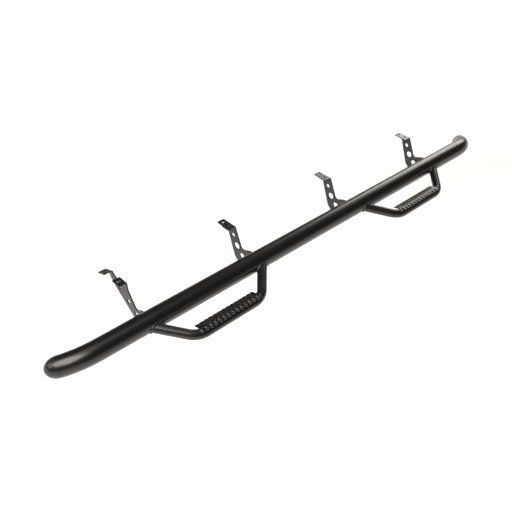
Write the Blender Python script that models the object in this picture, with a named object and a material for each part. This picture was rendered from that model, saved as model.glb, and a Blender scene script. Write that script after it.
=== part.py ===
"""Tubular running board with two drop steps and four welded mounting brackets.

Working frame while modelling (metres):
    +X runs along the bar towards the vehicle's rear, X = 0 at the middle of the straight tube
    +Y points inboard, towards the vehicle; -Y is the side that people step up from
    +Z is up; the axis of the main tube is the line Y = 0, Z = 0
At the end everything is shifted so that the origin is the mounting face of the
second bracket, midway between its two bolt holes.
"""
import math

import bmesh
import bpy
from mathutils import Matrix, Vector

# ---------------------------------------------------------------- driving dimensions
GAP = 0.0003                    # clearance between touching pieces

TUBE_RADIUS = 0.0381            # 3 inch outside diameter
TUBE_WALL = 0.0024
TUBE_STRAIGHT = 2.100           # straight length between the two end bends
END_BEND_RADIUS = 0.200
END_BEND_ANGLES = {-1.0: math.radians(36.5), 1.0: math.radians(41.0)}    # front, rear
END_BEND_TILT = math.radians(-29.5)   # the ends bend inboard and a little down
END_LEAD_OUTS = {-1.0: 0.006, 1.0: 0.015}      # straight stub after each end bend
CAP_DEPTH = 0.050               # height of the domed end cap
CAP_WALL = 0.0024

HOOP_RADIUS = 0.01905           # 1.5 inch outside diameter
HOOP_WALL = 0.0024
HOOP_CENTRES = {"front": -0.5875, "rear": 0.5625}
HOOP_DROP = math.radians(14.8)  # the hoop plane falls this far below level, outboard
HOOP_REACH = 0.1425             # tube axis to the axis of the step bar
HOOP_ROOT_HALF = 0.2875         # half spread of the leg axes at the tube axis
HOOP_BAR_HALF = 0.1520          # half spread of the leg axes at the step bar
HOOP_BEND_RADIUS = 0.086
HOOP_ROOT_REACH = 0.012         # the legs start inside the main tube, then get coped

PAD_THICKNESS = 0.0030
PAD_PITCH = 0.0204              # tooth to tooth
PAD_TEETH = 13
PAD_TOOTH_SHIFT = 0.0033        # the tooth pattern starts this far off the middle
PAD_LIP_ANGLE = math.radians(62.0)       # where the teeth end, round the step bar
PAD_CREST_ANGLE = math.radians(117.0)    # where the flat flank leaves the bar
PAD_FAR_REACH = 0.1003          # tube axis to the pad's inboard edge
PAD_FAR_HEIGHT = 0.0010         # height of that edge's top above the hoop plane
PAD_HALF = 0.1405               # half length of the pad over the step bar
PAD_FAR_HALF = 0.1385           # the same along its inboard edge
PAD_SLOT_WIDTH = 0.0084
PAD_SLOT_ANGLE = math.radians(105.0)     # the round head of each slot, round the bar
PAD_NOTCH_RADIUS = 0.0050       # notches in the inboard edge
PAD_NOTCH_DEPTH = 0.0026
PAD_FLANK_HOLE_RADIUS = 0.0026  # a row of drain holes along the flank
PAD_FLANK_HOLE_INSET = 0.0235   # from the inboard edge
PAD_TOOTH_HOLE_RADIUS = 0.0019  # a small hole in the root of each tooth
PAD_TOOTH_HOLE_ANGLE = math.radians(106.0)

PLATE = 0.0050                  # bracket plate thickness
FLANGE_TOP = 0.0980             # mounting faces above the tube axis
FLANGE_WIDTH = 0.0420           # along the bar
FLANGE_STEP = 0.0040            # the inboard half of a flange is this much narrower
FLANGE_OUTBOARD = 0.1230        # outboard end of every flange, from the tube axis
FLANGE_INBOARD = 0.1885
BEND_RADIUS = 0.0080            # outer radius of the bend between plate and flange
FLANGE_OVERLAP = 0.0030         # how far a flange solid runs down into its plate
BOLT_RADIUS = 0.0060
BOLT_OUTBOARD = 0.1415
BOLT_INBOARD = 0.1735
FLANGE_BOLT_SHARE = 0.53        # bolt line, as a share of the flange width from the plate
BRACKET_PLANES = {              # rear face of each bracket plate, along the bar
    "bracket_front": -0.8425,
    "bracket_second": -0.3305,
    "bracket_third": 0.2325,
    "bracket_rear": 0.8155,
}
REFERENCE_BRACKET = "bracket_second"

HOOP_WELD_RADIUS = 0.0044
BRACKET_WELD_RADIUS = 0.0040
PAD_WELD_RADIUS = 0.0050
PAD_WELD_MARGIN = math.radians(7.0)
BRACKET_WELD_START = math.radians(-52.0)     # round the tube, from the inboard side
BRACKET_WELD_FINISH = math.radians(30.0)

TUBE_SIDES = 36
HOOP_SIDES = 24
CUTTER_SIDES = 64

POWDER_COAT = (0.016, 0.016, 0.017, 1.0)
PAD_COAT = (0.024, 0.024, 0.025, 1.0)
WELD_COAT = (0.030, 0.030, 0.031, 1.0)

DROP = Vector((0.0, -math.cos(HOOP_DROP), -math.sin(HOOP_DROP)))
HOOP_UP = Vector((0.0, -math.sin(HOOP_DROP), math.cos(HOOP_DROP)))


# ---------------------------------------------------------------- small helpers
def clear_scene():
    for old in list(bpy.data.objects):
        bpy.data.objects.remove(old, do_unlink=True)


def material(name, colour, roughness, metallic):
    coat = bpy.data.materials.new(name)
    coat.use_nodes = True
    shader = coat.node_tree.nodes["Principled BSDF"]
    shader.inputs["Base Color"].default_value = colour
    shader.inputs["Roughness"].default_value = roughness
    shader.inputs["Metallic"].default_value = metallic
    return coat


def add_object(name, bm, coat=None, crease=30.0):
    """Turn a bmesh into a scene object, round faces smooth and corners sharp."""
    bmesh.ops.recalc_face_normals(bm, faces=bm.faces)
    mesh = bpy.data.meshes.new(name)
    bm.to_mesh(mesh)
    bm.free()
    obj = bpy.data.objects.new(name, mesh)
    bpy.context.collection.objects.link(obj)
    mesh.shade_smooth()
    mesh.set_sharp_from_angle(angle=math.radians(crease))
    if coat:
        mesh.materials.append(coat)
    return obj


def add_cutter(name, bm):
    obj = add_object(name, bm)
    obj.hide_render = True
    obj.display_type = "WIRE"
    return obj


def boolean(obj, other, operation):
    modifier = obj.modifiers.new(operation.title() + "_" + other.name, "BOOLEAN")
    modifier.operation = operation
    modifier.solver = "EXACT"
    modifier.object = other


def bridge_rings(bm, rings, closed_loop=False):
    """Skin a list of equally long vertex rings with quads."""
    pairs = list(zip(rings[:-1], rings[1:]))
    if closed_loop:
        pairs.append((rings[-1], rings[0]))
    for first, second in pairs:
        count = len(first)
        for i in range(count):
            j = (i + 1) % count
            bm.faces.new((first[i], first[j], second[j], second[i]))


def circle_ring(bm, centre, tangent, normal, radius, sides):
    """A ring of vertices round a path point; normal lies across the path."""
    side = tangent.cross(normal).normalized()
    ring = []
    for i in range(sides):
        turn = 2.0 * math.pi * i / sides
        offset = normal * math.cos(turn) + side * math.sin(turn)
        ring.append(bm.verts.new(centre + offset * radius))
    return ring


def hollow_tube(bm, path, normal, outer, wall, sides):
    """A tube with open ends along a flat path of (point, tangent) pairs."""
    skins = []
    for radius in (outer, outer - wall):
        rings = [circle_ring(bm, p, t, normal, radius, sides) for p, t in path]
        bridge_rings(bm, rings)
        skins.append(rings)
    for end in (0, -1):
        bridge_rings(bm, [skins[0][end], skins[1][end]])


def solid_rod(bm, path, normal, radius, sides):
    rings = [circle_ring(bm, p, t, normal, radius, sides) for p, t in path]
    bridge_rings(bm, rings)
    bm.faces.new(rings[0])
    bm.faces.new(rings[-1])


def extrude_outline(bm, outline, depth):
    """Prism over a closed outline of 3-D points, pushed along the depth vector."""
    prism(bm, outline, [p + depth for p in outline])


def prism(bm, near, far):
    """Solid between two equal outlines."""
    base = [bm.verts.new(p) for p in near]
    top = [bm.verts.new(p) for p in far]
    bm.faces.new(base)
    bm.faces.new(list(reversed(top)))
    bridge_rings(bm, [base, top])


def arc_points(centre, radius, start, end, steps):
    """Points on a circular arc in a plane, angles in radians."""
    points = []
    for i in range(steps + 1):
        turn = start + (end - start) * i / steps
        points.append((centre[0] + radius * math.cos(turn),
                       centre[1] + radius * math.sin(turn)))
    return points


def rounded_outline(corners, steps=5):
    """Closed outline from (y, z, fillet radius) corners, with round corners."""
    outline = []
    count = len(corners)
    for i, (y, z, radius) in enumerate(corners):
        here = Vector((y, z))
        if radius == 0.0:
            outline.append(here)
            continue
        before = Vector(corners[i - 1][:2]) - here
        after = Vector(corners[(i + 1) % count][:2]) - here
        before.normalize()
        after.normalize()
        half = before.angle(after) / 2.0
        centre = here + (before + after).normalized() * (radius / math.sin(half))
        start = here + before * (radius / math.tan(half)) - centre
        finish = here + after * (radius / math.tan(half)) - centre
        swing = start.angle_signed(finish)
        for k in range(steps + 1):
            spoke = start.copy()
            spoke.rotate(Matrix.Rotation(-swing * k / steps, 2))
            outline.append(centre + spoke)
    return outline


# ---------------------------------------------------------------- main tube and caps
BEND_SIDE = Vector((0.0, math.cos(END_BEND_TILT), math.sin(END_BEND_TILT)))
BEND_NORMAL = Vector((1.0, 0.0, 0.0)).cross(BEND_SIDE)


def end_bend(sign, steps=7):
    """Path points of one end, from the start of its bend to the cut end."""
    along = Vector((sign, 0.0, 0.0))
    start = along * (TUBE_STRAIGHT / 2.0)
    path = []
    for i in range(steps + 1):
        turn = END_BEND_ANGLES[sign] * i / steps
        point = start + along * (END_BEND_RADIUS * math.sin(turn))
        point += BEND_SIDE * (END_BEND_RADIUS * (1.0 - math.cos(turn)))
        path.append((point, along * math.cos(turn) + BEND_SIDE * math.sin(turn)))
    last, direction = path[-1]
    path.append((last + direction * END_LEAD_OUTS[sign], direction))
    return path


def main_tube(coat):
    front = [(p, -t) for p, t in reversed(end_bend(-1.0))]
    path = front + end_bend(1.0)
    bm = bmesh.new()
    hollow_tube(bm, path, BEND_NORMAL, TUBE_RADIUS, TUBE_WALL, TUBE_SIDES)
    return add_object("main_tube", bm, coat)


def end_cap(name, sign, coat, rings=6):
    """A domed cup that closes one tube end, thin-walled and open towards the tube."""
    seat, direction = end_bend(sign)[-1]
    seat = seat + direction * GAP
    bm = bmesh.new()
    skins = []
    for shrink in (0.0, CAP_WALL):
        skin = []
        for i in range(rings):
            turn = 0.5 * math.pi * i / rings
            centre = seat + direction * ((CAP_DEPTH - shrink) * math.sin(turn))
            radius = (TUBE_RADIUS - shrink) * math.cos(turn)
            skin.append(circle_ring(bm, centre, direction, BEND_NORMAL, radius, TUBE_SIDES))
        bridge_rings(bm, skin)
        pole = bm.verts.new(seat + direction * (CAP_DEPTH - shrink))
        last = skin[-1]
        for i in range(TUBE_SIDES):
            bm.faces.new((last[i], last[(i + 1) % TUBE_SIDES], pole))
        skins.append(skin)
    bridge_rings(bm, [skins[0][0], skins[1][0]])
    return add_object(name, bm, coat)


def tube_envelope():
    """Cutter: the straight main tube grown by the clearance."""
    bm = bmesh.new()
    path = [(Vector((side * TUBE_STRAIGHT / 2.0, 0.0, 0.0)), Vector((1.0, 0.0, 0.0)))
            for side in (-1.0, 1.0)]
    solid_rod(bm, path, Vector((0.0, 0.0, 1.0)), TUBE_RADIUS + GAP, CUTTER_SIDES)
    return add_cutter("tube_envelope", bm)


# ---------------------------------------------------------------- drop-step hoops
LEG = Vector((HOOP_BAR_HALF - HOOP_ROOT_HALF, HOOP_REACH))
HOOP_TURN = math.atan2(HOOP_REACH, HOOP_ROOT_HALF - HOOP_BAR_HALF)
HOOP_TANGENT = HOOP_BEND_RADIUS * math.tan(HOOP_TURN / 2.0)
BAR_STRAIGHT_HALF = HOOP_BAR_HALF - HOOP_TANGENT


def hoop_point(centre_x, x, reach, height=0.0):
    """World point from hoop-plane coordinates."""
    return Vector((centre_x + x, 0.0, 0.0)) + DROP * reach + HOOP_UP * height


def hoop_half_path(steps=8):
    """(x, reach, turn) of the hoop axis from the bar's middle to the leg's root."""
    stations = []
    for i in range(steps + 1):
        turn = HOOP_TURN * i / steps
        x = BAR_STRAIGHT_HALF + HOOP_BEND_RADIUS * math.sin(turn)
        reach = HOOP_REACH - HOOP_BEND_RADIUS * (1.0 - math.cos(turn))
        stations.append((x, reach, turn))
    root_x = HOOP_ROOT_HALF + LEG.x * HOOP_ROOT_REACH / LEG.y
    stations.append((root_x, HOOP_ROOT_REACH, HOOP_TURN))
    return stations


def hoop_path(centre_x):
    """The whole hoop axis from the front root to the rear root."""
    half = hoop_half_path()
    path = []
    for x, reach, turn in reversed(half):
        tangent = Vector((math.cos(turn), 0.0, 0.0)) + DROP * math.sin(turn)
        path.append((hoop_point(centre_x, -x, reach), tangent))
    for x, reach, turn in half:
        tangent = Vector((math.cos(turn), 0.0, 0.0)) - DROP * math.sin(turn)
        path.append((hoop_point(centre_x, x, reach), tangent))
    return path


def step_hoop(name, centre_x, coat, tube_cutter):
    bm = bmesh.new()
    hollow_tube(bm, hoop_path(centre_x), HOOP_UP, HOOP_RADIUS, HOOP_WALL, HOOP_SIDES)
    hoop = add_object(name, bm, coat)
    boolean(hoop, tube_cutter, "DIFFERENCE")
    return hoop


def hoop_envelope(name, centre_x):
    """Cutter: the hoop's outer shape grown by the clearance, as a solid rod."""
    bm = bmesh.new()
    solid_rod(bm, hoop_path(centre_x), HOOP_UP, HOOP_RADIUS + GAP, HOOP_SIDES)
    return add_cutter(name, bm)


def hoop_weld(name, centre_x, side, coat, tube_cutter, hoop_cutter, steps=20, sides=8):
    """Fillet bead round the joint of one hoop leg with the main tube."""
    root = hoop_point(centre_x, side * HOOP_ROOT_HALF, 0.0)
    foot = hoop_point(centre_x, side * HOOP_BAR_HALF, HOOP_REACH)
    axis = (foot - root).normalized()
    across = axis.cross(HOOP_UP).normalized()
    joint = []
    for i in range(steps):
        turn = 2.0 * math.pi * i / steps
        spoke = HOOP_UP * math.cos(turn) + across * math.sin(turn)
        start = root + spoke * HOOP_RADIUS
        flat_axis = Vector((axis.y, axis.z))
        flat_start = Vector((start.y, start.z))
        a = flat_axis.dot(flat_axis)
        b = 2.0 * flat_axis.dot(flat_start)
        c = flat_start.dot(flat_start) - TUBE_RADIUS ** 2
        along = (-b + math.sqrt(b * b - 4.0 * a * c)) / (2.0 * a)
        joint.append(start + axis * along)
    bm = bmesh.new()
    rings = []
    for i, point in enumerate(joint):
        tangent = (joint[(i + 1) % steps] - joint[i - 1]).normalized()
        outward = Vector((0.0, point.y, point.z)).normalized()
        outward = (outward - tangent * outward.dot(tangent)).normalized()
        rings.append(circle_ring(bm, point, tangent, outward, HOOP_WELD_RADIUS, sides))
    bridge_rings(bm, rings, closed_loop=True)
    weld = add_object(name, bm, coat, crease=60.0)
    boolean(weld, tube_cutter, "DIFFERENCE")
    boolean(weld, hoop_cutter, "DIFFERENCE")
    return weld


# ---------------------------------------------------------------- step pads
PAD_INNER = HOOP_RADIUS + GAP
PAD_OUTER = PAD_INNER + PAD_THICKNESS


def bar_surface(x, radius, angle):
    """Reach and height of a point at an angle round the step bar, at a distance x from
    the middle of the bar; past the straight stretch the bar bends inboard.
    """
    past = max(0.0, abs(x) - BAR_STRAIGHT_HALF)
    swing = HOOP_BEND_RADIUS + radius * math.cos(angle)
    reach = HOOP_REACH - HOOP_BEND_RADIUS + math.sqrt(swing * swing - past * past)
    return reach, radius * math.sin(angle)


def pad_section(x, steps=5):
    """Closed cross-section of a pad, as (x, reach, height) points."""
    slope = (math.sin(PAD_CREST_ANGLE), -math.cos(PAD_CREST_ANGLE))
    far_x = x * PAD_FAR_HALF / PAD_HALF
    far_high = (far_x, PAD_FAR_REACH, PAD_FAR_HEIGHT)
    far_low = (far_x, PAD_FAR_REACH - PAD_THICKNESS * slope[1] * 0.5,
               PAD_FAR_HEIGHT - PAD_THICKNESS * slope[0])
    angles = [PAD_LIP_ANGLE + (PAD_CREST_ANGLE - PAD_LIP_ANGLE) * i / steps
              for i in range(steps + 1)]
    section = [(x,) + bar_surface(x, PAD_OUTER, a) for a in angles]
    section += [far_high, far_low]
    section += [(x,) + bar_surface(x, PAD_INNER, a) for a in reversed(angles)]
    return section


def pad_blank(bm, centre_x, bends=3):
    """The bent strip before its holes and slots are cut."""
    run = PAD_HALF - BAR_STRAIGHT_HALF
    half = [BAR_STRAIGHT_HALF + run * i / bends for i in range(bends + 1)]
    rings = []
    for x in [-x for x in reversed(half)] + half:
        rings.append([bm.verts.new(hoop_point(centre_x, *p)) for p in pad_section(x)])
    bridge_rings(bm, rings)
    bm.faces.new(rings[0])
    bm.faces.new(rings[-1])


def pitch_positions(count):
    """Evenly pitched distances from the middle of the pad, along the bar."""
    return [PAD_TOOTH_SHIFT + (i - (count - 1) / 2.0) * PAD_PITCH for i in range(count)]


def bar_directions(angle):
    """Outward and downhill directions at an angle round the step bar."""
    out = DROP * math.cos(angle) + HOOP_UP * math.sin(angle)
    downhill = DROP * math.sin(angle) - HOOP_UP * math.cos(angle)
    return out, downhill


def slot_cutter(bm, centre_x, x, finish=0.030, sides=6):
    """A round-headed slot that runs from the crest of the bar out through the lip."""
    out, downhill = bar_directions(PAD_SLOT_ANGLE)
    base = hoop_point(centre_x, x, HOOP_REACH) + out * (HOOP_RADIUS * 0.3)
    half = PAD_SLOT_WIDTH / 2.0
    outline = []
    for across, along in arc_points((0.0, 0.0), half, math.pi, 2.0 * math.pi, sides):
        outline.append(base + Vector((across, 0.0, 0.0)) + downhill * along)
    outline.append(base + Vector((half, 0.0, 0.0)) + downhill * finish)
    outline.append(base + Vector((-half, 0.0, 0.0)) + downhill * finish)
    extrude_outline(bm, outline, out * HOOP_RADIUS)


def flank_cutter(bm, centre_x, x, inset, radius, sides):
    """A round cutter square to the pad's flat flank, measured from its far edge."""
    out, downhill = bar_directions(PAD_CREST_ANGLE)
    centre = hoop_point(centre_x, x, PAD_FAR_REACH, PAD_FAR_HEIGHT) + downhill * inset
    path = [(centre + out * h, out) for h in (-0.006, 0.006)]
    solid_rod(bm, path, Vector((1.0, 0.0, 0.0)), radius, sides)


def tooth_hole_cutter(bm, centre_x, x, sides=6):
    out, downhill = bar_directions(PAD_TOOTH_HOLE_ANGLE)
    axis = hoop_point(centre_x, x, HOOP_REACH)
    path = [(axis + out * (HOOP_RADIUS + h), out) for h in (-0.003, 0.008)]
    solid_rod(bm, path, Vector((1.0, 0.0, 0.0)), PAD_TOOTH_HOLE_RADIUS, sides)


def step_pad(name, centre_x, coat):
    bm = bmesh.new()
    pad_blank(bm, centre_x)
    pad = add_object(name, bm, coat)
    cut = bmesh.new()
    for x in pitch_positions(PAD_TEETH + 1):
        if abs(x) + PAD_SLOT_WIDTH < PAD_HALF:
            slot_cutter(cut, centre_x, x)
    notch_inset = PAD_NOTCH_DEPTH - PAD_NOTCH_RADIUS
    for x in pitch_positions(PAD_TEETH - 1):
        flank_cutter(cut, centre_x, x, PAD_FLANK_HOLE_INSET, PAD_FLANK_HOLE_RADIUS, 8)
    for x in pitch_positions(PAD_TEETH):
        flank_cutter(cut, centre_x, x, notch_inset, PAD_NOTCH_RADIUS, 12)
        tooth_hole_cutter(cut, centre_x, x)
    boolean(pad, add_cutter(name + "_cutter", cut), "DIFFERENCE")
    return pad


def pad_weld(name, centre_x, side, coat, hoop_cutter, steps=6, sides=8):
    """Short bead over the step bar that holds one end of a pad."""
    x = side * (PAD_HALF + GAP)
    first = PAD_LIP_ANGLE + PAD_WELD_MARGIN
    last = PAD_CREST_ANGLE - 2.0 * PAD_WELD_MARGIN
    bm = bmesh.new()
    rings = []
    for i in range(steps + 1):
        angle = first + (last - first) * i / steps
        out, downhill = bar_directions(angle)
        centre = hoop_point(centre_x, x, *bar_surface(x, HOOP_RADIUS, angle))
        swell = math.sin(math.pi * (i + 0.5) / (steps + 1))
        radius = PAD_WELD_RADIUS * (0.55 + 0.45 * swell)
        rings.append(circle_ring(bm, centre, downhill, out, radius, sides))
    bridge_rings(bm, rings)
    bm.faces.new(rings[0])
    bm.faces.new(rings[-1])
    weld = add_object(name, bm, coat, crease=60.0)
    boolean(weld, hoop_cutter, "DIFFERENCE")
    cut = bmesh.new()
    middle = centre_x + x
    box_cutter(cut, (min(middle, middle - side * 0.03), -0.2, -0.2),
               (max(middle, middle - side * 0.03), 0.0, 0.2))
    boolean(weld, add_cutter(name + "_trim", cut), "DIFFERENCE")
    return weld


# ---------------------------------------------------------------- brackets
STANDARD_OUTLINE = [            # y, z, fillet radius, from the lug over the tube
    (0.0270, 0.0285, 0.0),
    (0.0400, 0.0255, 0.010),
    (0.0700, 0.0125, 0.012),
    (0.0830, 0.0140, 0.014),
    (FLANGE_OUTBOARD, FLANGE_TOP - BEND_RADIUS, 0.0),
    (FLANGE_INBOARD, FLANGE_TOP - BEND_RADIUS, 0.0),
    (FLANGE_INBOARD, FLANGE_TOP - BEND_RADIUS - 0.006, 0.004),
    (0.1705, 0.0835, 0.006),
    (0.1165, -0.0405, 0.040),
    (0.0765, -0.0730, 0.030),
    (0.0280, -0.0440, 0.012),
    (0.0150, -0.0340, 0.0),
]
STANDARD_HOLES = [              # y, z, radius: the lightening holes grow downwards
    (0.1320, 0.0515, 0.0090),
    (0.1080, 0.0118, 0.0142),
    (0.0755, -0.0205, 0.0130),
]
FRONT_FLANGE_OUTBOARD = 0.1193
FRONT_FLANGE_INBOARD = 0.1578
FRONT_FLANGE_WIDTH = 0.0355
FRONT_HOLE_HALF = 0.0075        # half side of the square hole in the lower flange
FRONT_HOLE_SHARE = 0.60         # hole centre, as a share of the flange width
FRONT_HOLE_OFFSET = 0.0035      # hole centre, inboard of the flange middle
UPPER_OUTBOARD = 0.2035
UPPER_INBOARD = 0.2415
UPPER_TOP = 0.0985
UPPER_WIDTH = 0.0365
UPPER_TILT = math.radians(-21.0)      # falls inboard
UPPER_BOLT_SHARE = 0.57

UPPER_FALL = math.tan(UPPER_TILT) * (UPPER_INBOARD - UPPER_OUTBOARD)
FRONT_OUTLINE = [
    (0.0250, 0.0225, 0.0),
    (0.0420, 0.0200, 0.010),
    (0.0690, 0.0040, 0.012),
    (0.1140, 0.0640, 0.020),
    (FRONT_FLANGE_OUTBOARD, FLANGE_TOP - BEND_RADIUS, 0.0),
    (FRONT_FLANGE_INBOARD, FLANGE_TOP - BEND_RADIUS, 0.0),
    (0.1590, 0.0720, 0.005),
    (0.1760, 0.0720, 0.006),
    (UPPER_OUTBOARD, UPPER_TOP - BEND_RADIUS, 0.0),
    (UPPER_INBOARD, UPPER_TOP - BEND_RADIUS + UPPER_FALL, 0.0),
    (UPPER_INBOARD, UPPER_TOP - BEND_RADIUS + UPPER_FALL - 0.005, 0.002),
    (0.2230, 0.0755, 0.003),
    (0.2000, 0.0475, 0.020),
    (0.0860, -0.0370, 0.018),
    (0.0570, -0.0470, 0.014),
    (0.0120, -0.0360, 0.0),
]
FRONT_HOLES = [
    (0.1600, 0.0460, 0.0065),
    (0.1118, 0.0150, 0.0095),
    (0.0670, -0.0150, 0.0095),
]


def plate_solid(plane, corners):
    """Flat bracket plate whose rear face lies at x = plane."""
    bm = bmesh.new()
    outline = rounded_outline(corners)
    prism(bm, [Vector((plane - PLATE, p.x, p.y)) for p in outline],
          [Vector((plane, p.x, p.y)) for p in outline])
    return bm


def flange_solid(bm, plane, outboard, inboard, width, top, tilt=0.0, steps=4):
    """Bent flange: a plate section that turns over a round corner, extruded along Y.

    tilt raises or drops the flange towards its inboard end.
    """
    corner = (-BEND_RADIUS, -BEND_RADIUS)
    outer = arc_points(corner, BEND_RADIUS, 0.0, 0.5 * math.pi, steps)
    inner = arc_points(corner, BEND_RADIUS - PLATE, 0.5 * math.pi, 0.0, steps)
    tips = [(-width, 0.0), (-width, -PLATE)]
    drop = BEND_RADIUS + FLANGE_OVERLAP
    section = outer + tips + inner + [(-PLATE, -drop), (0.0, -drop)]
    outline = [Vector((plane + x, outboard, top + z / math.cos(tilt))) for x, z in section]
    run = Vector((0.0, inboard - outboard, (inboard - outboard) * math.tan(tilt)))
    extrude_outline(bm, outline, run)


def box_cutter(bm, low, high):
    outline = [Vector((low[0], low[1], low[2])), Vector((high[0], low[1], low[2])),
               Vector((high[0], high[1], low[2])), Vector((low[0], high[1], low[2]))]
    extrude_outline(bm, outline, Vector((0.0, 0.0, high[2] - low[2])))


def upright_hole(bm, x, y, z, radius, sides=20, tilt=0.0):
    """Cutter for a bolt hole through a flange."""
    rise = Vector((0.0, -math.sin(tilt), math.cos(tilt)))
    path = [(Vector((x, y, z)) + rise * h, rise) for h in (-0.012, 0.012)]
    solid_rod(bm, path, Vector((1.0, 0.0, 0.0)), radius, sides)


def plate_hole(bm, plane, y, z, radius, sides=28):
    path = [(Vector((plane + x, y, z)), Vector((1.0, 0.0, 0.0)))
            for x in (-PLATE * 2.0, PLATE)]
    solid_rod(bm, path, Vector((0.0, 0.0, 1.0)), radius, sides)


def finish_bracket(name, plate_bm, flanges, cut, coat, tube_cutter):
    bracket = add_object(name, plate_bm, coat)
    for i, flange in enumerate(flanges):
        boolean(bracket, add_cutter("%s_flange_%d" % (name, i), flange), "UNION")
    boolean(bracket, add_cutter(name + "_cutter", cut), "DIFFERENCE")
    boolean(bracket, tube_cutter, "DIFFERENCE")
    return bracket


def standard_bracket(name, plane, coat, tube_cutter):
    plate = plate_solid(plane, STANDARD_OUTLINE)
    flange = bmesh.new()
    flange_solid(flange, plane, FLANGE_OUTBOARD, FLANGE_INBOARD, FLANGE_WIDTH, FLANGE_TOP)
    cut = bmesh.new()
    for y, z, radius in STANDARD_HOLES:
        plate_hole(cut, plane, y, z, radius)
    bolt_x = plane - FLANGE_WIDTH * FLANGE_BOLT_SHARE
    for y in (BOLT_OUTBOARD, BOLT_INBOARD):
        upright_hole(cut, bolt_x, y, FLANGE_TOP, BOLT_RADIUS)
    step_y = (BOLT_OUTBOARD + BOLT_INBOARD) / 2.0
    front = plane - FLANGE_WIDTH
    box_cutter(cut, (front - 0.01, step_y, FLANGE_TOP - 0.02),
               (front + FLANGE_STEP, FLANGE_INBOARD + 0.01, FLANGE_TOP + 0.01))
    return finish_bracket(name, plate, [flange], cut, coat, tube_cutter)


def front_bracket(name, plane, coat, tube_cutter):
    """The foremost bracket: a lower flange and a second one on a strip further inboard."""
    plate = plate_solid(plane, FRONT_OUTLINE)
    lower = bmesh.new()
    flange_solid(lower, plane, FRONT_FLANGE_OUTBOARD, FRONT_FLANGE_INBOARD, FRONT_FLANGE_WIDTH,
                 FLANGE_TOP)
    upper = bmesh.new()
    flange_solid(upper, plane, UPPER_OUTBOARD, UPPER_INBOARD, UPPER_WIDTH, UPPER_TOP,
                 UPPER_TILT)
    cut = bmesh.new()
    for y, z, radius in FRONT_HOLES:
        plate_hole(cut, plane, y, z, radius)
    hole_x = plane - FRONT_FLANGE_WIDTH * FRONT_HOLE_SHARE
    hole_y = (FRONT_FLANGE_OUTBOARD + FRONT_FLANGE_INBOARD) / 2.0 + FRONT_HOLE_OFFSET
    box_cutter(cut, (hole_x - FRONT_HOLE_HALF, hole_y - FRONT_HOLE_HALF, FLANGE_TOP - 0.007),
               (hole_x + FRONT_HOLE_HALF, hole_y + FRONT_HOLE_HALF, FLANGE_TOP + 0.007))
    upper_y = (UPPER_OUTBOARD + UPPER_INBOARD) / 2.0
    upper_z = UPPER_TOP + 0.5 * UPPER_FALL
    upright_hole(cut, plane - UPPER_WIDTH * UPPER_BOLT_SHARE, upper_y, upper_z, BOLT_RADIUS,
                 20, UPPER_TILT)
    return finish_bracket(name, plate, [lower, upper], cut, coat, tube_cutter)


def bracket_weld(name, face, coat, tube_cutter, steps=14, sides=8):
    """Fillet bead along the tube on one face of a bracket plate."""
    swing = BRACKET_WELD_FINISH - BRACKET_WELD_START
    bm = bmesh.new()
    rings = []
    for i in range(steps + 1):
        turn = BRACKET_WELD_START + swing * i / steps
        spoke = Vector((0.0, math.cos(turn), math.sin(turn)))
        tangent = Vector((0.0, -math.sin(turn), math.cos(turn)))
        fade = min(1.0, 0.55 + 0.9 * math.sin(math.pi * i / steps))
        rings.append(circle_ring(bm, Vector((face, 0.0, 0.0)) + spoke * TUBE_RADIUS, tangent,
                                 spoke, BRACKET_WELD_RADIUS * fade, sides))
    bridge_rings(bm, rings)
    bm.faces.new(rings[0])
    bm.faces.new(rings[-1])
    weld = add_object(name, bm, coat, crease=60.0)
    boolean(weld, tube_cutter, "DIFFERENCE")
    return weld


def slab_cutter(name, low_x, high_x):
    """Cutter: a wide slab round a bracket plate, grown by the clearance."""
    bm = bmesh.new()
    box_cutter(bm, (low_x, -0.1, -0.1), (high_x, 0.1, 0.1))
    return add_cutter(name, bm)


# ---------------------------------------------------------------- assembly
def build():
    clear_scene()
    coat = material("powder_coat", POWDER_COAT, 0.42, 0.0)
    pad_coat = material("pad_coat", PAD_COAT, 0.50, 0.0)
    weld_coat = material("weld_coat", WELD_COAT, 0.45, 0.0)

    main_tube(coat)
    end_cap("end_cap_front", -1.0, coat)
    end_cap("end_cap_rear", 1.0, coat)
    tube_cutter = tube_envelope()

    for label, centre_x in HOOP_CENTRES.items():
        step_hoop("step_hoop_" + label, centre_x, coat, tube_cutter)
        envelope = hoop_envelope("hoop_envelope_" + label, centre_x)
        step_pad("step_pad_" + label, centre_x, pad_coat)
        for end, side in (("a", -1.0), ("b", 1.0)):
            hoop_weld("hoop_weld_%s_%s" % (label, end), centre_x, side, weld_coat,
                      tube_cutter, envelope)
            pad_weld("pad_weld_%s_%s" % (label, end), centre_x, side, weld_coat, envelope)

    for name, plane in BRACKET_PLANES.items():
        make = front_bracket if name == "bracket_front" else standard_bracket
        make(name, plane, coat, tube_cutter)
        slab = slab_cutter(name + "_slab", plane - PLATE - GAP, plane + GAP)
        for end, face in (("a", plane - PLATE), ("b", plane)):
            weld_name = name.replace("bracket", "bracket_weld") + "_" + end
            weld = bracket_weld(weld_name, face, weld_coat, tube_cutter)
            boolean(weld, slab, "DIFFERENCE")

    reference = Vector((BRACKET_PLANES[REFERENCE_BRACKET] - FLANGE_WIDTH * FLANGE_BOLT_SHARE,
                        (BOLT_OUTBOARD + BOLT_INBOARD) / 2.0, FLANGE_TOP))
    for obj in bpy.data.objects:
        obj.location = -reference


build()
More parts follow.
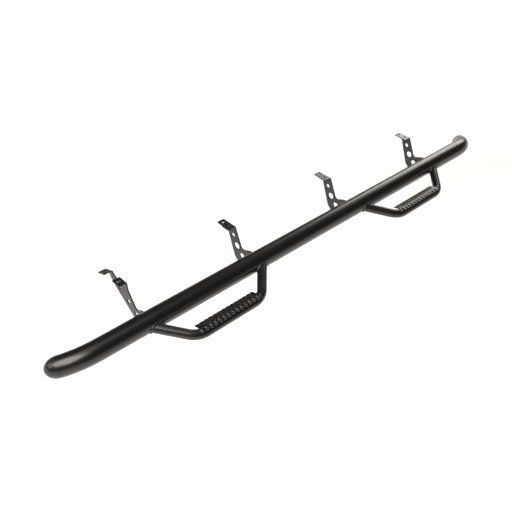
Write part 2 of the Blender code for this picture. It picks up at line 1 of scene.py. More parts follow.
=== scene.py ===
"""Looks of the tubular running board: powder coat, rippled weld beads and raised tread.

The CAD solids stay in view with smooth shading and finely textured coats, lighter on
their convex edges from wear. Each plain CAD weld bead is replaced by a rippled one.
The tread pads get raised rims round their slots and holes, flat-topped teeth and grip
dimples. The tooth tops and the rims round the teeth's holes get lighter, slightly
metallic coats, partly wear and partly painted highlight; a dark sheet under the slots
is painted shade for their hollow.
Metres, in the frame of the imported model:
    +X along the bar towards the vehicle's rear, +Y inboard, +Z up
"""
import math

import bmesh
import bpy
from mathutils import Matrix, Vector


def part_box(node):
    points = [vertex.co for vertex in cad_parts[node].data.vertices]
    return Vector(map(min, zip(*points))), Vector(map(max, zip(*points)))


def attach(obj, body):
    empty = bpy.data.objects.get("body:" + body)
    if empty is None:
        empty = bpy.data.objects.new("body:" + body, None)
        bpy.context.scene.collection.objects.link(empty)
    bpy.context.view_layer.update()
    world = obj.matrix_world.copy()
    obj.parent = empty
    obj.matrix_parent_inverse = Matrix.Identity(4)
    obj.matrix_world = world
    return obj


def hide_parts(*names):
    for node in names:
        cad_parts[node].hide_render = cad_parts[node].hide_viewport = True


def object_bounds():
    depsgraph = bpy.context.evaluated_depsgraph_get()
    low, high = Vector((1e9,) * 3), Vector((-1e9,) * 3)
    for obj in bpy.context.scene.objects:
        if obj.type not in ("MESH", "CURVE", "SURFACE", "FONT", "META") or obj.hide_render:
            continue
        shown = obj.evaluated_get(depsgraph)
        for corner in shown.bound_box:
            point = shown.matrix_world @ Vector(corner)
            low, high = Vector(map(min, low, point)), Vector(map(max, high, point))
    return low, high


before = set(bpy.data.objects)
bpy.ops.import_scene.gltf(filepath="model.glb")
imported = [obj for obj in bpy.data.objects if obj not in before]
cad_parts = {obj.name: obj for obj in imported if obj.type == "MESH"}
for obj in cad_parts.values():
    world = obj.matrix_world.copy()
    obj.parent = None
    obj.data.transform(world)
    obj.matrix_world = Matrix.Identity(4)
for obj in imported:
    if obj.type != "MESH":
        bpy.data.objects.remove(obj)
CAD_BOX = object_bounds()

# ---------------------------------------------------------------- sizes, as in the CAD
TUBE_RADIUS = 0.0381
HOOP_RADIUS = 0.01905
HOOP_DROP = math.radians(14.8)
HOOP_REACH = 0.1425             # from the tube's axis to the step bar's axis
HOOP_ROOT_HALF = 0.2875         # half the distance between the legs, at the tube's axis
HOOP_BAR_HALF = 0.1520          # the same at the step bar, before its bends are rounded
HOOP_BEND_RADIUS = 0.086
PAD_THICKNESS = 0.0030
PAD_GAP = 0.0003
PAD_PITCH = 0.0204
PAD_TEETH = 13
PAD_TOOTH_SHIFT = 0.0033
PAD_LIP_ANGLE = math.radians(62.0)          # angles go round the step bar's axis
PAD_CREST_ANGLE = math.radians(117.0)
PAD_FAR_REACH = 0.1003          # the pad's inboard edge
PAD_FAR_HEIGHT = 0.0010
PAD_SLOT_WIDTH = 0.0084
PAD_SLOT_ANGLE = math.radians(105.0)
PAD_FLANK_HOLE_RADIUS = 0.0026
PAD_FLANK_HOLE_INSET = 0.0235   # insets are measured from the inboard edge
PAD_TOOTH_HOLE_RADIUS = 0.0019
PAD_TOOTH_HOLE_ANGLE = math.radians(106.0)
BRACKET_WELD_START = math.radians(-52.0)
BRACKET_WELD_FINISH = math.radians(30.0)
BRACKETS = ("bracket_front", "bracket_second", "bracket_third", "bracket_rear")
ENDS = (("a", -1.0), ("b", 1.0))            # name of a weld, and its side along X

# ---------------------------------------------------------------- weld beads
HOOP_BEAD = 0.0046              # half width of the bead's oval section
BRACKET_BEAD = 0.0040
PAD_BEAD = 0.0046
PAD_BEAD_START = PAD_LIP_ANGLE + math.radians(3.0)
PAD_BEAD_FINISH = PAD_CREST_ANGLE - math.radians(8.0)
BEAD_SIDES = 14
BEAD_HEIGHT = 0.62              # of the half width
BEAD_SHIFT = 0.34               # out of the corner, in half widths
BEAD_END_SHARE = 0.14           # of an open bead's length, at each end, where it tapers
BEAD_END_SIZE = 0.45
RIPPLE_PITCH = 0.0036
RIPPLE_DEPTH = 0.10             # of the half width
RIPPLE_FLATNESS = 0.7           # under 1 gives broad crests and sharp valleys
UNEVEN_DEPTH = 0.05             # slow irregular swelling, of the half width
UNEVEN_WAVES = (173.0, 419.0)   # radians a metre

# ---------------------------------------------------------------- tread
SLOT_FOOT_MARGIN = math.radians(4.0)        # a slot's rim starts this far from the lip
RIM_RADIUS = 0.0008
RIM_SEAT = 0.7                  # how far a slot's rim stands off its edge, in rim radii
HOLE_RIM = 0.0010
HOLE_RIM_SEAT = 0.6
TOOTH_RIM = 0.0010
DIMPLE_RADIUS = 0.0026
DIMPLE_HEIGHT = 0.0013
DIMPLE_SINK = 0.2               # depth of its base in the plate, of the height
DIMPLE_MARGIN = 0.006           # clear of the pad's ends
DIMPLE_ROWS = ((0.0085, 0), (0.0160, 1), (0.0305, 1))       # inset, half-step shift
TOOTH_HALF = 0.0052             # raised flat-topped tooth between two slots
TOOTH_SINK = -0.0008
TOOTH_LIFT = 0.0001
TOOTH_SQUARENESS = 5            # power of the curve that rounds a tooth's sides
TOOTH_PROFILE = (               # degrees round the step bar, height above the pad
    (101.0, -0.0004), (99.0, 0.0004), (95.0, 0.0009), (90.0, 0.0013), (85.0, 0.0018),
    (80.0, 0.0024), (77.5, 0.0025), (75.0, 0.0021), (72.0, 0.0012), (68.0, -0.0004))
# painted shade: a thin dark sheet under the tread stands for the shadowed hollow seen
# through the slots
SHADE_SHEET_LAYERS = (0.00012, 0.00022)           # above the step bar, inside the pad's gap
SHADE_SHEET_START = PAD_LIP_ANGLE + math.radians(2.0)
SHADE_SHEET_FINISH = PAD_CREST_ANGLE - math.radians(0.5)
SHADE_SHEET_MARGIN = 0.002            # short of the pad's ends

# ---------------------------------------------------------------- shading and coats
BRACKET_BEVEL = 0.0005
BEVEL_CORNER = math.radians(40.0)
JOIN_DISTANCE = 0.00001
HARD_EDGE = math.radians(32.0)
SMOOTH_RIM = math.radians(60.0)             # crease angles of the added pieces
SMOOTH_BEAD = math.radians(50.0)

COAT_COLOUR = (0.0036, 0.0034, 0.0032)
WELD_COLOUR = (0.0060, 0.0057, 0.0054)
# tooth hole rims: lighter, slightly metallic coat, partly wear and partly painted
# highlight
WORN_HIGHLIGHT_COLOUR = (0.090, 0.088, 0.085)
# tooth tops: lighter, slightly metallic coat, partly rubbing wear and partly painted
# highlight
RUBBED_HIGHLIGHT_COLOUR = (0.020, 0.0195, 0.019)
# painted shade: near-black tones of the sheet seen through the slots
SLOT_SHADE_DARK = (0.0010, 0.0010, 0.0010)
SLOT_SHADE_PALE = (0.0045, 0.0043, 0.0040)
COAT_GRAIN = 900.0              # noise scale of the powder's grain
PAD_GRAIN = 700.0
SLOT_SHADE_GRAIN = 1200.0
HAMMER_GRAIN = 230.0
MOTTLE_SCALE = 14.0
GRAIN_DEPTH = 0.0002
HAMMER_DEPTH = 0.0004
MOTTLE = ((0.30, 0.82), (0.72, 1.18))       # ramp position, share of the colour
WORN_SHARE = 2.6                # of the colour, on convex edges
WORN_POINTINESS = (0.53, 0.62)
GLOSS_SPREAD = (-0.04, 0.05)    # round the coat's roughness, from grain to grain

# ---------------------------------------------------------------- studio
CAMERA_PLACE = Vector((-1.48614, -1.5663, 1.5476))
CAMERA_AZIMUTH = math.radians(-46.8723)
CAMERA_ELEVATION = math.radians(38.1827)
CAMERA_ROLL = math.radians(4.3690)
CAMERA_LENS = 48.226
CAMERA_SENSOR = 36.0
CAMERA_SHIFT = 0.25 / 512.0

LIGHT_COLOUR = (1.055, 1.0, 0.945)
# name, azimuth, elevation, distance, width, height, radiance
SOFTBOXES = (
    ("right_back", 21.5, 23.5, 8.0, 4.3, 3.7, 5.8),
    ("left_high", 191.0, 51.0, 6.0, 5.8, 4.0, 8.6),
    ("left_back", 150.0, 22.0, 7.0, 5.4, 2.6, 2.6),
    ("overhead", 200.0, 82.0, 6.0, 4.6, 4.6, 1.25))
WORLD_DIM = (0.08, 0.076, 0.072)
FLOOR_MIDDLE_X = 0.3
FLOOR_DROP = 0.55               # floor below the object's lowest point
FLOOR_HALF = 14.0
FLOOR_COLOUR = (0.5, 0.5, 0.5)
GLOW_COLOUR = (1.0, 1.0, 0.99)
GLOW_SHIFT = (0.28, 0.6, 0.0)   # the glow is measured round a point, drawn out along X
GLOW_STRETCH = (0.4, 1.0, 1.0)
GLOW_REACH = 5.0
GLOW = ((0.02, 1.0), (0.27, 0.38), (0.45, 0.62), (0.95, 0.95))  # share of reach, level

# ---------------------------------------------------------------- derived
ALONG = Vector((1.0, 0.0, 0.0))
DROP = Vector((0.0, -math.cos(HOOP_DROP), -math.sin(HOOP_DROP)))
HOOP_UP = Vector((0.0, -math.sin(HOOP_DROP), math.cos(HOOP_DROP)))
HOOP_TURN = math.atan2(HOOP_REACH, HOOP_ROOT_HALF - HOOP_BAR_HALF)
BAR_STRAIGHT_HALF = HOOP_BAR_HALF - HOOP_BEND_RADIUS * math.tan(HOOP_TURN / 2.0)
PAD_OUTER = HOOP_RADIUS + PAD_GAP + PAD_THICKNESS


# ---------------------------------------------------------------- mesh helpers
def piece(name, bm, coat, crease):
    """A new visible mesh that rides on the bar."""
    bmesh.ops.recalc_face_normals(bm, faces=bm.faces)
    mesh = bpy.data.meshes.new(name)
    bm.to_mesh(mesh)
    bm.free()
    mesh.shade_smooth()
    mesh.set_sharp_from_angle(angle=crease)
    mesh.materials.append(coat)
    obj = bpy.data.objects.new(name, mesh)
    bpy.context.collection.objects.link(obj)
    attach(obj, "root")
    return obj


def ring(bm, centre, along, across, radius, sides, flatness=1.0):
    """A ring of vertices round a path point; across is square to the path."""
    side = along.cross(across).normalized()
    verts = []
    for i in range(sides):
        turn = 2.0 * math.pi * i / sides
        offset = across * (flatness * math.cos(turn)) + side * math.sin(turn)
        verts.append(bm.verts.new(centre + offset * radius))
    return verts


def walls(bm, rings):
    """Quads from each ring of vertices to the next."""
    for first, second in zip(rings[:-1], rings[1:]):
        count = len(first)
        for i in range(count):
            j = (i + 1) % count
            bm.faces.new((first[i], first[j], second[j], second[i]))


def skin(bm, rings, closed):
    """A tube over rings of vertices, closed on itself or capped at both ends."""
    if closed:
        walls(bm, rings + rings[:1])
    else:
        walls(bm, rings)
        bm.faces.new(rings[0])
        bm.faces.new(rings[-1])


def sandwich(bm, near, far):
    """Close the space between two equal grids of vertices."""
    rows, columns = len(near) - 1, len(near[0]) - 1
    for grid in (near, far):
        for i in range(rows):
            for k in range(columns):
                bm.faces.new((grid[i][k], grid[i + 1][k],
                              grid[i + 1][k + 1], grid[i][k + 1]))
    for i in range(rows):
        for k in (0, columns):
            bm.faces.new((near[i][k], near[i + 1][k], far[i + 1][k], far[i][k]))
    for k in range(columns):
        for i in (0, rows):
            bm.faces.new((near[i][k], near[i][k + 1], far[i][k + 1], far[i][k]))


def spokes(normal, turns):
    """Unit spokes round a normal that is square to X, each with its tangent."""
    second = normal.cross(ALONG).normalized()
    for k in range(turns):
        turn = 2.0 * math.pi * k / turns
        yield (ALONG * math.cos(turn) + second * math.sin(turn),
               second * math.cos(turn) - ALONG * math.sin(turn))


def box_middle(node):
    low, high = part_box(node)
    return (low + high) / 2.0


def plate_face(weld, side):
    """X of the plate face that a weld lies against, the plate being on its inner side."""
    low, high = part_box(weld)
    return high.x if side < 0.0 else low.x


def tube_axis():
    """Y and Z of the main tube's axis; its bent ends only reach inboard and down."""
    low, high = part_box("main_tube")
    return Vector((0.0, low.y + TUBE_RADIUS, high.z - TUBE_RADIUS))


AXIS = tube_axis()


# ---------------------------------------------------------------- hoop geometry
def hoop_point(centre_x, x, reach, height=0.0):
    """Point in a hoop's own plane: along X, out along its drop, and above it."""
    return AXIS + Vector((centre_x + x, 0.0, 0.0)) + DROP * reach + HOOP_UP * height


def bar_place(centre_x, x, radius, angle):
    """Point at an angle round the step bar, x from its middle, following its bends."""
    past = max(0.0, abs(x) - BAR_STRAIGHT_HALF)
    swing = HOOP_BEND_RADIUS + radius * math.cos(angle)
    reach = HOOP_REACH - HOOP_BEND_RADIUS + math.sqrt(swing * swing - past * past)
    return hoop_point(centre_x, x, reach, radius * math.sin(angle))


def bar_out(angle):
    return DROP * math.cos(angle) + HOOP_UP * math.sin(angle)


def flank_frame(centre_x, x, inset):
    """Point on the pad's flank at a distance from its inboard edge, and its normal."""
    edge = hoop_point(centre_x, x, PAD_FAR_REACH, PAD_FAR_HEIGHT)
    crest = bar_place(centre_x, x, PAD_OUTER, PAD_CREST_ANGLE)
    slope = (crest - edge).normalized()
    normal = ALONG.cross(slope)
    if normal.dot(HOOP_UP) < 0.0:
        normal.negate()
    return edge + slope * inset, normal


# ---------------------------------------------------------------- weld beads
def bead(name, replaced, corners, radius, coat, closed):
    """Rippled weld bead along corners: (point, first normal, second normal) tuples."""
    bm = bmesh.new()
    rings = []
    count = len(corners)
    length = 0.0
    for i, (point, first, second) in enumerate(corners):
        before = corners[i - 1][0] if i or closed else point
        after = corners[(i + 1) % count][0] if i < count - 1 or closed else point
        along = (after - before).normalized()
        if i:
            length += (point - corners[i - 1][0]).length
        out = (first + second).normalized()
        out = (out - along * out.dot(along)).normalized()
        crest = math.sin(math.pi * ((length / RIPPLE_PITCH) % 1.0)) ** RIPPLE_FLATNESS
        ripple = 1.0 - RIPPLE_DEPTH * (1.0 - crest)
        ripple += (UNEVEN_DEPTH * math.sin(UNEVEN_WAVES[0] * length)
                   * math.sin(UNEVEN_WAVES[1] * length + 1.0))
        fade = 1.0
        if not closed:
            edge = min(i, count - 1 - i) / (BEAD_END_SHARE * count)
            fade = BEAD_END_SIZE + (1.0 - BEAD_END_SIZE) * math.sin(
                0.5 * math.pi * min(1.0, edge))
        centre = point + out * (radius * BEAD_SHIFT * fade)
        rings.append(ring(bm, centre, along, out, radius * ripple * fade, BEAD_SIDES,
                          BEAD_HEIGHT))
    skin(bm, rings, closed)
    obj = piece(name, bm, coat, SMOOTH_BEAD)
    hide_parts(replaced)


def hoop_beads(label, centre_x, coat, steps=300):
    """Beads round the joints of both hoop legs with the main tube."""
    for end, side in ENDS:
        root = hoop_point(centre_x, side * HOOP_ROOT_HALF, 0.0) - AXIS
        foot = hoop_point(centre_x, side * HOOP_BAR_HALF, HOOP_REACH) - AXIS
        leg = (foot - root).normalized()
        across = leg.cross(HOOP_UP).normalized()
        corners = []
        for i in range(steps):
            turn = 2.0 * math.pi * i / steps
            spoke = HOOP_UP * math.cos(turn) + across * math.sin(turn)
            start = root + spoke * HOOP_RADIUS
            # distance from start, along the leg, to where it leaves the tube
            a = leg.y ** 2 + leg.z ** 2
            b = 2.0 * (leg.y * start.y + leg.z * start.z)
            c = start.y ** 2 + start.z ** 2 - TUBE_RADIUS ** 2
            point = start + leg * ((-b + math.sqrt(b * b - 4.0 * a * c)) / (2.0 * a))
            radial = Vector((0.0, point.y, point.z)).normalized()
            corners.append((point + AXIS, radial, spoke))
        node = "hoop_weld_%s_%s" % (label, end)
        bead("bead_" + node, node, corners, HOOP_BEAD, coat, True)


def bracket_beads(bracket, coat, steps=110):
    """Beads along the tube on both faces of one bracket plate."""
    swing = BRACKET_WELD_FINISH - BRACKET_WELD_START
    for end, side in ENDS:
        node = bracket.replace("bracket", "bracket_weld") + "_" + end
        face = plate_face(node, side)
        corners = []
        for i in range(steps + 1):
            turn = BRACKET_WELD_START + swing * i / steps
            radial = Vector((0.0, math.cos(turn), math.sin(turn)))
            point = Vector((face, AXIS.y, AXIS.z)) + radial * TUBE_RADIUS
            corners.append((point, radial, ALONG * side))
        bead("bead_" + node, node, corners, BRACKET_BEAD, coat, False)


def pad_beads(label, centre_x, coat, steps=60):
    """Beads over the step bar at both ends of a pad."""
    swing = PAD_BEAD_FINISH - PAD_BEAD_START
    for end, side in ENDS:
        node = "pad_weld_%s_%s" % (label, end)
        x = plate_face(node, side) - centre_x
        corners = []
        for i in range(steps + 1):
            angle = PAD_BEAD_START + swing * i / steps
            point = bar_place(centre_x, x, HOOP_RADIUS, angle)
            corners.append((point, bar_out(angle), ALONG * side))
        bead("bead_" + node, node, corners, PAD_BEAD, coat, False)


# ---------------------------------------------------------------- tread
def pitch_positions(count):
    return [PAD_TOOTH_SHIFT + (i - (count - 1) / 2.0) * PAD_PITCH for i in range(count)]


def slot_rim(bm, centre_x, x, straight=8, head=12, sides=8):
    """Raised half-round rim along a slot: up one side, round its head, down the other."""
    half = PAD_SLOT_WIDTH / 2.0 + RIM_RADIUS * RIM_SEAT
    foot = PAD_SLOT_ANGLE - PAD_LIP_ANGLE - SLOT_FOOT_MARGIN
    outline = [(-half, foot * (1.0 - k / straight)) for k in range(straight)]
    for k in range(head + 1):
        turn = math.pi - math.pi * k / head
        outline.append((half * math.cos(turn), -half * math.sin(turn) / PAD_OUTER))
    outline += [(half, foot * k / straight) for k in range(1, straight + 1)]
    points = []
    for across, turned in outline:
        angle = PAD_SLOT_ANGLE - turned
        points.append((bar_place(centre_x, x + across, PAD_OUTER, angle), bar_out(angle)))
    rings = []
    for k, (place, out) in enumerate(points):
        before = points[max(0, k - 1)][0]
        after = points[min(len(points) - 1, k + 1)][0]
        along = (after - before).normalized()
        rings.append(ring(bm, place, along, out, RIM_RADIUS, sides))
    skin(bm, rings, False)


def hole_rim(bm, centre, normal, radius, thickness, turns=18, sides=8):
    """Raised rim round a small hole."""
    reach = radius + thickness * HOLE_RIM_SEAT
    rings = [ring(bm, centre + spoke * reach, along, normal, thickness, sides)
             for spoke, along in spokes(normal, turns)]
    skin(bm, rings, True)


def dimple(bm, centre, normal, turns=12, steps=4):
    """Low closed dome, its base sunk slightly into the plate."""
    base = centre - normal * (DIMPLE_SINK * DIMPLE_HEIGHT)
    height = (1.0 + DIMPLE_SINK) * DIMPLE_HEIGHT
    rings = []
    for level in range(steps):
        rise = 0.5 * math.pi * level / steps
        rings.append([bm.verts.new(base + spoke * (DIMPLE_RADIUS * math.cos(rise))
                                   + normal * (height * math.sin(rise)))
                      for spoke, _ in spokes(normal, turns)])
    walls(bm, rings)
    top = bm.verts.new(base + normal * height)
    for k in range(turns):
        bm.faces.new((rings[-1][k], rings[-1][(k + 1) % turns], top))
    bm.faces.new(rings[0])


def tread_rims(label, centre_x, pad_half, coat):
    """Raised rims along the slots."""
    bm = bmesh.new()
    for x in pitch_positions(PAD_TEETH + 1):
        if abs(x) + PAD_SLOT_WIDTH < pad_half:
            slot_rim(bm, centre_x, x)
    piece("tread_rims_" + label, bm, coat, SMOOTH_RIM)


def tread_teeth(label, centre_x, pad_half, coat, across=10):
    """Flat-topped teeth that stand out between the slots, with rounded sides."""
    bm = bmesh.new()
    for x in pitch_positions(PAD_TEETH):
        if abs(x) + TOOTH_HALF > pad_half:
            continue
        tops, feet = [], []
        for i in range(across + 1):
            share = 2.0 * i / across - 1.0
            place = x + TOOTH_HALF * math.sin(0.5 * math.pi * share)
            drop = 1.0 - math.sqrt(max(0.0, 1.0 - abs(share) ** TOOTH_SQUARENESS))
            top, foot = [], []
            for degrees, height in TOOTH_PROFILE:
                angle = math.radians(degrees)
                lift = height - (height - TOOTH_SINK) * drop
                top.append(bm.verts.new(bar_place(
                    centre_x, place, PAD_OUTER + lift + TOOTH_LIFT, angle)))
                foot.append(bm.verts.new(bar_place(
                    centre_x, place, PAD_OUTER + TOOTH_SINK, angle)))
            tops.append(top)
            feet.append(foot)
        sandwich(bm, tops, feet)
    piece("tread_teeth_" + label, bm, coat, SMOOTH_BEAD)


def tooth_rims(label, centre_x, coat):
    """Raised rim round the hole in the root of each tooth, in a coat that is partly wear
    and partly painted highlight.
    """
    bm = bmesh.new()
    out = bar_out(PAD_TOOTH_HOLE_ANGLE)
    for x in pitch_positions(PAD_TEETH):
        centre = bar_place(centre_x, x, PAD_OUTER, PAD_TOOTH_HOLE_ANGLE)
        hole_rim(bm, centre, out, PAD_TOOTH_HOLE_RADIUS, TOOTH_RIM)
    piece("tooth_rims_" + label, bm, coat, SMOOTH_RIM)


def tread_dimples(label, centre_x, pad_half, coat):
    """Grip dimples in rows on the flank, and rims round its holes."""
    bm = bmesh.new()
    for x in pitch_positions(PAD_TEETH - 1):
        centre, normal = flank_frame(centre_x, x, PAD_FLANK_HOLE_INSET)
        hole_rim(bm, centre, normal, PAD_FLANK_HOLE_RADIUS, HOLE_RIM)
    for inset, shifted in DIMPLE_ROWS:
        for i in range(-PAD_TEETH, PAD_TEETH + 1):
            x = PAD_TOOTH_SHIFT + (i + 0.5 * shifted) * 0.5 * PAD_PITCH
            if abs(x) + DIMPLE_MARGIN < pad_half:
                centre, normal = flank_frame(centre_x, x, inset)
                dimple(bm, centre, normal)
    piece("tread_dimples_" + label, bm, coat, SMOOTH_RIM)


def painted_shade_sheet(label, centre_x, pad_half, coat, steps=26, along=60):
    """Painted shade: thin dark sheet in the gap under the tread, seen through the slots.
    """
    bm = bmesh.new()
    half = pad_half - SHADE_SHEET_MARGIN
    swing = SHADE_SHEET_FINISH - SHADE_SHEET_START
    layers = []
    for lift in SHADE_SHEET_LAYERS:
        grid = []
        for i in range(along + 1):
            x = -half + 2.0 * half * i / along
            grid.append([bm.verts.new(bar_place(
                centre_x, x, HOOP_RADIUS + lift, SHADE_SHEET_START + swing * k / steps))
                for k in range(steps + 1)])
        layers.append(grid)
    sandwich(bm, *layers)
    piece("tread_painted_shade_" + label, bm, coat, SMOOTH_RIM)


# ---------------------------------------------------------------- shading of CAD solids
def geometry_group(name, build_nodes):
    tree = bpy.data.node_groups.new(name, "GeometryNodeTree")
    for in_out in ("INPUT", "OUTPUT"):
        tree.interface.new_socket("Geometry", in_out=in_out,
                                  socket_type="NodeSocketGeometry")
    start = tree.nodes.new("NodeGroupInput").outputs[0]
    finish = build_nodes(tree, start)
    tree.links.new(finish, tree.nodes.new("NodeGroupOutput").inputs[0])
    return tree


def join_triangles(tree, geometry):
    """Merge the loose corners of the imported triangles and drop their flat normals."""
    merge = tree.nodes.new("GeometryNodeMergeByDistance")
    merge.inputs["Distance"].default_value = JOIN_DISTANCE
    tree.links.new(geometry, merge.inputs["Geometry"])
    drop = tree.nodes.new("GeometryNodeRemoveAttribute")
    drop.inputs["Name"].default_value = "custom_normal"
    tree.links.new(merge.outputs["Geometry"], drop.inputs["Geometry"])
    return drop.outputs["Geometry"]


def shade_by_angle(tree, geometry):
    """Smooth faces, with a hard edge wherever two faces meet at more than HARD_EDGE."""
    faces = tree.nodes.new("GeometryNodeSetShadeSmooth")
    faces.domain = "FACE"
    faces.inputs["Shade Smooth"].default_value = True
    tree.links.new(geometry, faces.inputs["Geometry"])
    angle = tree.nodes.new("GeometryNodeInputMeshEdgeAngle")
    compare = tree.nodes.new("FunctionNodeCompare")
    compare.data_type = "FLOAT"
    compare.operation = "GREATER_THAN"
    compare.inputs[1].default_value = HARD_EDGE
    tree.links.new(angle.outputs["Unsigned Angle"], compare.inputs[0])
    edges = tree.nodes.new("GeometryNodeSetShadeSmooth")
    edges.domain = "EDGE"
    edges.inputs["Shade Smooth"].default_value = False
    tree.links.new(faces.outputs["Geometry"], edges.inputs["Geometry"])
    tree.links.new(compare.outputs["Result"], edges.inputs["Selection"])
    return edges.outputs["Geometry"]


def finish_solid(obj, join, shade, bevelled):
    """Shading modifiers of a CAD solid; a bevelled one gets slightly broken edges."""
    obj.modifiers.new("Join", "NODES").node_group = join
    if bevelled:
        rounded = obj.modifiers.new("Bevel", "BEVEL")
        rounded.width = BRACKET_BEVEL
        rounded.segments = 2
        rounded.limit_method = "ANGLE"
        rounded.angle_limit = BEVEL_CORNER
        rounded.use_clamp_overlap = True
    obj.modifiers.new("Shade", "NODES").node_group = shade
    if bevelled:
        flat = obj.modifiers.new("Flat", "WEIGHTED_NORMAL")
        flat.keep_sharp = True
        flat.weight = 80


# ---------------------------------------------------------------- materials
def opaque(colour, share=1.0):
    return [c * share for c in colour] + [1.0]


class Graph:
    """The node tree of a new material, with short ways to add what the coats use."""

    def __init__(self, name):
        self.material = bpy.data.materials.new(name)
        self.material.use_nodes = True
        self.nodes = self.material.node_tree.nodes
        self.links = self.material.node_tree.links
        self.shader = self.nodes["Principled BSDF"]
        self.place = self.nodes.new("ShaderNodeTexCoord").outputs["Object"]

    def join(self, output, socket):
        self.links.new(output, self.shader.inputs[socket])

    def noise(self, scale, detail, roughness=0.5):
        node = self.nodes.new("ShaderNodeTexNoise")
        node.inputs["Scale"].default_value = scale
        node.inputs["Detail"].default_value = detail
        node.inputs["Roughness"].default_value = roughness
        self.links.new(self.place, node.inputs["Vector"])
        return node.outputs["Fac"]

    def ramp(self, value, stops):
        """Colour ramp of (position, colour) stops, the first and last ones outermost."""
        node = self.nodes.new("ShaderNodeValToRGB")
        elements = node.color_ramp.elements
        for element, (position, colour) in zip(elements, (stops[0], stops[-1])):
            element.position = position
            element.color = colour
        for position, colour in stops[1:-1]:
            elements.new(position).color = colour
        self.links.new(value, node.inputs["Fac"])
        return node.outputs["Color"]

    def spread(self, value, from_low, from_high, to_low, to_high):
        node = self.nodes.new("ShaderNodeMapRange")
        node.inputs["From Min"].default_value = from_low
        node.inputs["From Max"].default_value = from_high
        node.inputs["To Min"].default_value = to_low
        node.inputs["To Max"].default_value = to_high
        self.links.new(value, node.inputs["Value"])
        return node.outputs["Result"]

    def bump(self, height, strength, distance):
        node = self.nodes.new("ShaderNodeBump")
        node.inputs["Strength"].default_value = strength
        node.inputs["Distance"].default_value = distance
        self.links.new(height, node.inputs["Height"])
        return node


def coat_material(name, colour, roughness, grain, wear, hammered=0.0, metallic=0.0):
    """Satin powder coat: fine grain, faint mottling and slightly polished edges."""
    graph = Graph(name)
    graph.shader.inputs["IOR"].default_value = 1.5
    graph.shader.inputs["Metallic"].default_value = metallic
    fine = graph.noise(grain, 3.0, 0.6)

    mottled = graph.ramp(graph.noise(MOTTLE_SCALE, 4.0),
                         [(place, opaque(colour, share)) for place, share in MOTTLE])
    geometry = graph.nodes.new("ShaderNodeNewGeometry")
    wear_and_highlight = graph.nodes.new("ShaderNodeMix")
    wear_and_highlight.data_type = "RGBA"
    wear_and_highlight.inputs["B"].default_value = opaque(colour, WORN_SHARE)
    graph.links.new(graph.spread(geometry.outputs["Pointiness"], *WORN_POINTINESS,
                                 0.0, wear), wear_and_highlight.inputs["Factor"])
    graph.links.new(mottled, wear_and_highlight.inputs["A"])
    graph.join(wear_and_highlight.outputs["Result"], "Base Color")

    rougher = (roughness + offset for offset in GLOSS_SPREAD)
    graph.join(graph.spread(fine, 0.3, 0.7, *rougher), "Roughness")

    relief = graph.bump(fine, 0.22, GRAIN_DEPTH)
    graph.join(relief.outputs["Normal"], "Normal")
    if hammered:
        dents = graph.bump(graph.noise(HAMMER_GRAIN, 1.0), 0.8, hammered)
        graph.links.new(dents.outputs["Normal"], relief.inputs["Normal"])
    return graph.material


def painted_shade_material():
    """Painted shade: grainy near-black dull coat for the shadowed hollow in the tread's
    slots.
    """
    graph = Graph("slot_painted_shade")
    graph.shader.inputs["Roughness"].default_value = 0.9
    graph.shader.inputs["Specular IOR Level"].default_value = 0.05
    grit = graph.ramp(graph.noise(SLOT_SHADE_GRAIN, 2.0),
                      ((0.0, opaque(SLOT_SHADE_DARK)), (1.0, opaque(SLOT_SHADE_PALE))))
    graph.join(grit, "Base Color")
    return graph.material


def floor_material():
    """White paper that glows strongly below the object, less round it and more beyond."""
    graph = Graph("studio_floor")
    graph.shader.inputs["Base Color"].default_value = opaque(FLOOR_COLOUR)
    graph.shader.inputs["Roughness"].default_value = 0.9
    graph.shader.inputs["Emission Color"].default_value = opaque(GLOW_COLOUR)
    stretch = graph.nodes.new("ShaderNodeMapping")
    stretch.inputs["Location"].default_value = GLOW_SHIFT
    stretch.inputs["Scale"].default_value = GLOW_STRETCH
    graph.links.new(graph.place, stretch.inputs["Vector"])
    distance = graph.nodes.new("ShaderNodeVectorMath")
    distance.operation = "LENGTH"
    graph.links.new(stretch.outputs["Vector"], distance.inputs[0])
    share = graph.nodes.new("ShaderNodeMath")
    share.operation = "DIVIDE"
    share.inputs[1].default_value = GLOW_REACH
    graph.links.new(distance.outputs["Value"], share.inputs[0])
    glow = graph.ramp(share.outputs["Value"],
                      [(place, (level, level, level, 1.0)) for place, level in GLOW])
    graph.join(glow, "Emission Strength")
    return graph.material


# ---------------------------------------------------------------- studio
def floor(low):
    bm = bmesh.new()
    bmesh.ops.create_grid(bm, x_segments=1, y_segments=1, size=FLOOR_HALF)
    mesh = bpy.data.meshes.new("floor")
    bm.to_mesh(mesh)
    bm.free()
    mesh.materials.append(floor_material())
    obj = bpy.data.objects.new("floor", mesh)
    obj.location = (FLOOR_MIDDLE_X, 0.0, low.z - FLOOR_DROP)
    bpy.context.collection.objects.link(obj)


def softbox(name, place, target, width, height, power):
    light = bpy.data.lights.new(name, "AREA")
    light.shape = "RECTANGLE"
    light.size = width
    light.size_y = height
    light.energy = power
    light.color = LIGHT_COLOUR
    obj = bpy.data.objects.new(name, light)
    obj.location = place
    obj.rotation_mode = "QUATERNION"
    obj.rotation_quaternion = (target - place).to_track_quat("-Z", "Y")
    obj.visible_camera = False
    bpy.context.collection.objects.link(obj)


def lights(middle):
    """The softboxes, each facing the middle of the object."""
    for name, azimuth, elevation, distance, width, height, radiance in SOFTBOXES:
        turn, rise = math.radians(azimuth), math.radians(elevation)
        towards = Vector((math.cos(turn) * math.cos(rise),
                          math.sin(turn) * math.cos(rise), math.sin(rise)))
        softbox(name, middle + towards * distance, middle, width, height,
                radiance * math.pi * width * height)


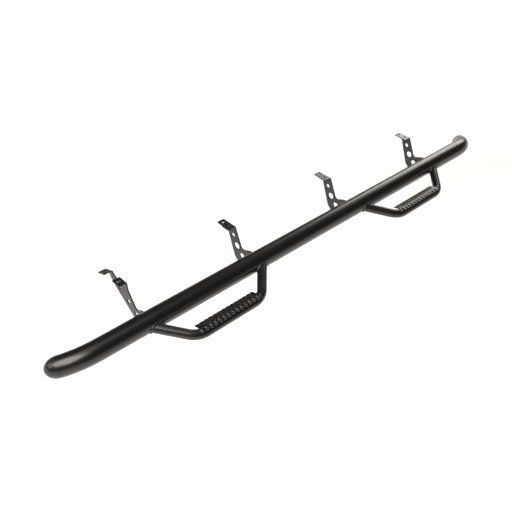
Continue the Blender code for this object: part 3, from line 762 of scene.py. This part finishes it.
def backdrop():
    """Dim all round as light, and plain white where it is seen behind the floor."""
    world = bpy.data.worlds.new("studio")
    bpy.context.scene.world = world
    world.use_nodes = True
    nodes = world.node_tree.nodes
    links = world.node_tree.links
    dim = nodes["Background"]
    dim.inputs["Color"].default_value = opaque(WORLD_DIM)
    white = nodes.new("ShaderNodeBackground")
    white.inputs["Color"].default_value = (1.0, 1.0, 1.0, 1.0)
    path = nodes.new("ShaderNodeLightPath")
    mix = nodes.new("ShaderNodeMixShader")
    links.new(path.outputs["Is Camera Ray"], mix.inputs["Fac"])
    links.new(dim.outputs["Background"], mix.inputs[1])
    links.new(white.outputs["Background"], mix.inputs[2])
    links.new(mix.outputs["Shader"], nodes["World Output"].inputs["Surface"])


def camera():
    back = Vector((math.sin(CAMERA_AZIMUTH) * math.cos(CAMERA_ELEVATION),
                   -math.cos(CAMERA_AZIMUTH) * math.cos(CAMERA_ELEVATION),
                   math.sin(CAMERA_ELEVATION)))
    level = Vector((math.cos(CAMERA_AZIMUTH), math.sin(CAMERA_AZIMUTH), 0.0))
    rise = back.cross(level)
    right = level * math.cos(CAMERA_ROLL) + rise * math.sin(CAMERA_ROLL)
    up = rise * math.cos(CAMERA_ROLL) - level * math.sin(CAMERA_ROLL)
    data = bpy.data.cameras.new("camera")
    data.sensor_width = CAMERA_SENSOR
    data.lens = CAMERA_LENS
    data.shift_x = -CAMERA_SHIFT
    data.shift_y = CAMERA_SHIFT
    data.clip_start = 0.05
    data.clip_end = 60.0
    obj = bpy.data.objects.new("camera", data)
    obj.matrix_world = Matrix.Translation(CAMERA_PLACE) @ Matrix(
        (right, up, back)).transposed().to_4x4()
    bpy.context.collection.objects.link(obj)
    bpy.context.scene.camera = obj


# ---------------------------------------------------------------- assembly
def build():
    """Coat the CAD solids and add the beads and the tread's details."""
    powder = coat_material("powder_coat_satin", COAT_COLOUR, 0.29, COAT_GRAIN, 0.5)
    tread = coat_material("pad_coat_satin", COAT_COLOUR, 0.24, PAD_GRAIN, 0.7,
                          hammered=HAMMER_DEPTH)
    # partly edge wear, partly painted highlight: lighter, slightly metallic coat that
    # gives the tooth hole rims bright spots
    wear_and_highlight = coat_material("tread_edge_worn_highlight", WORN_HIGHLIGHT_COLOUR, 0.28, PAD_GRAIN, 0.5,
                         metallic=0.22)
    # partly rubbing wear, partly painted highlight: lighter, slightly metallic coat on the
    # tooth tops
    rubbed_and_highlight = coat_material("tooth_top_rubbed_highlight", RUBBED_HIGHLIGHT_COLOUR, 0.22, PAD_GRAIN, 0.6,
                           metallic=0.08)
    # painted shade: dark dull coat of the sheet seen through the slots
    shade_coat = painted_shade_material()
    weld = coat_material("weld_coat_satin", WELD_COLOUR, 0.28, COAT_GRAIN, 0.5)

    join = geometry_group("join_triangles", join_triangles)
    shade = geometry_group("shade_by_angle", shade_by_angle)
    for name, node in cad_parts.items():
        coat = tread if name.startswith("step_pad") else powder
        if "weld" in name:
            coat = weld
        node.data.materials.clear()
        node.data.materials.append(coat)
        finish_solid(node, join, shade, name in BRACKETS)

    for label in ("front", "rear"):
        low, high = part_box("step_pad_" + label)
        pad_half = (high.x - low.x) / 2.0
        centre_x = box_middle("step_hoop_" + label).x
        hoop_beads(label, centre_x, weld)
        pad_beads(label, centre_x, weld)
        tread_rims(label, centre_x, pad_half, tread)
        # teeth in the coat that is partly painted highlight
        tread_teeth(label, centre_x, pad_half, rubbed_and_highlight)
        # tooth hole rims in the coat that is partly painted highlight
        tooth_rims(label, centre_x, wear_and_highlight)
        tread_dimples(label, centre_x, pad_half, tread)
        # painted shade: dark sheet under the slots
        painted_shade_sheet(label, centre_x, pad_half, shade_coat)
    for name in BRACKETS:
        bracket_beads(name, weld)


build()
low_corner, high_corner = CAD_BOX
floor(low_corner)
lights((low_corner + high_corner) / 2.0)
backdrop()
camera()
bpy.context.scene.view_settings.view_transform = "Standard"
